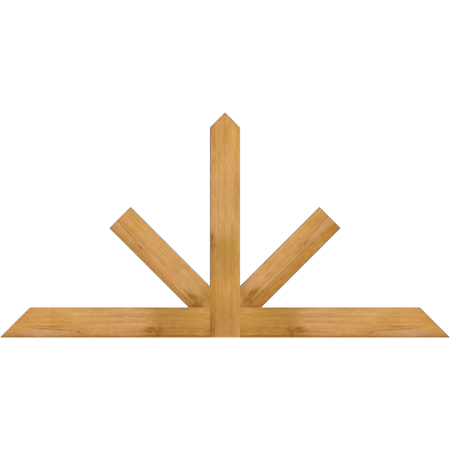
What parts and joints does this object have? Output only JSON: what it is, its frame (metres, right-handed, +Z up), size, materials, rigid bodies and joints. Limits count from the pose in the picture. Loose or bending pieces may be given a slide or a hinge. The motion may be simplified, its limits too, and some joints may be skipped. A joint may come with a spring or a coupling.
{
  "type": "decorative gable truss",
  "caption": "Open gable truss of planed timber: a peaked king post on a split bottom chord, with diagonal struts, every outer end cut to the roof line.",
  "frame": {"origin": "middle of the underside, under the king post, at mid depth", "axes": "+X along the bottom chord, to the right as seen from the front; +Y to the back, towards the gable wall; +Z up, towards the peak"},
  "size_m": [1.524, 0.1016, 0.762],
  "materials": {
    "timber": "satin",
    "dowel": "matte"
  },
  "bodies": {
    "root": {"king_post": "timber", "left_chord": "timber", "right_chord": "timber", "left_strut": "timber", "right_strut": "timber", "chord_dowels": "dowel", "strut_dowels": "dowel"}
  },
  "joints": []
}
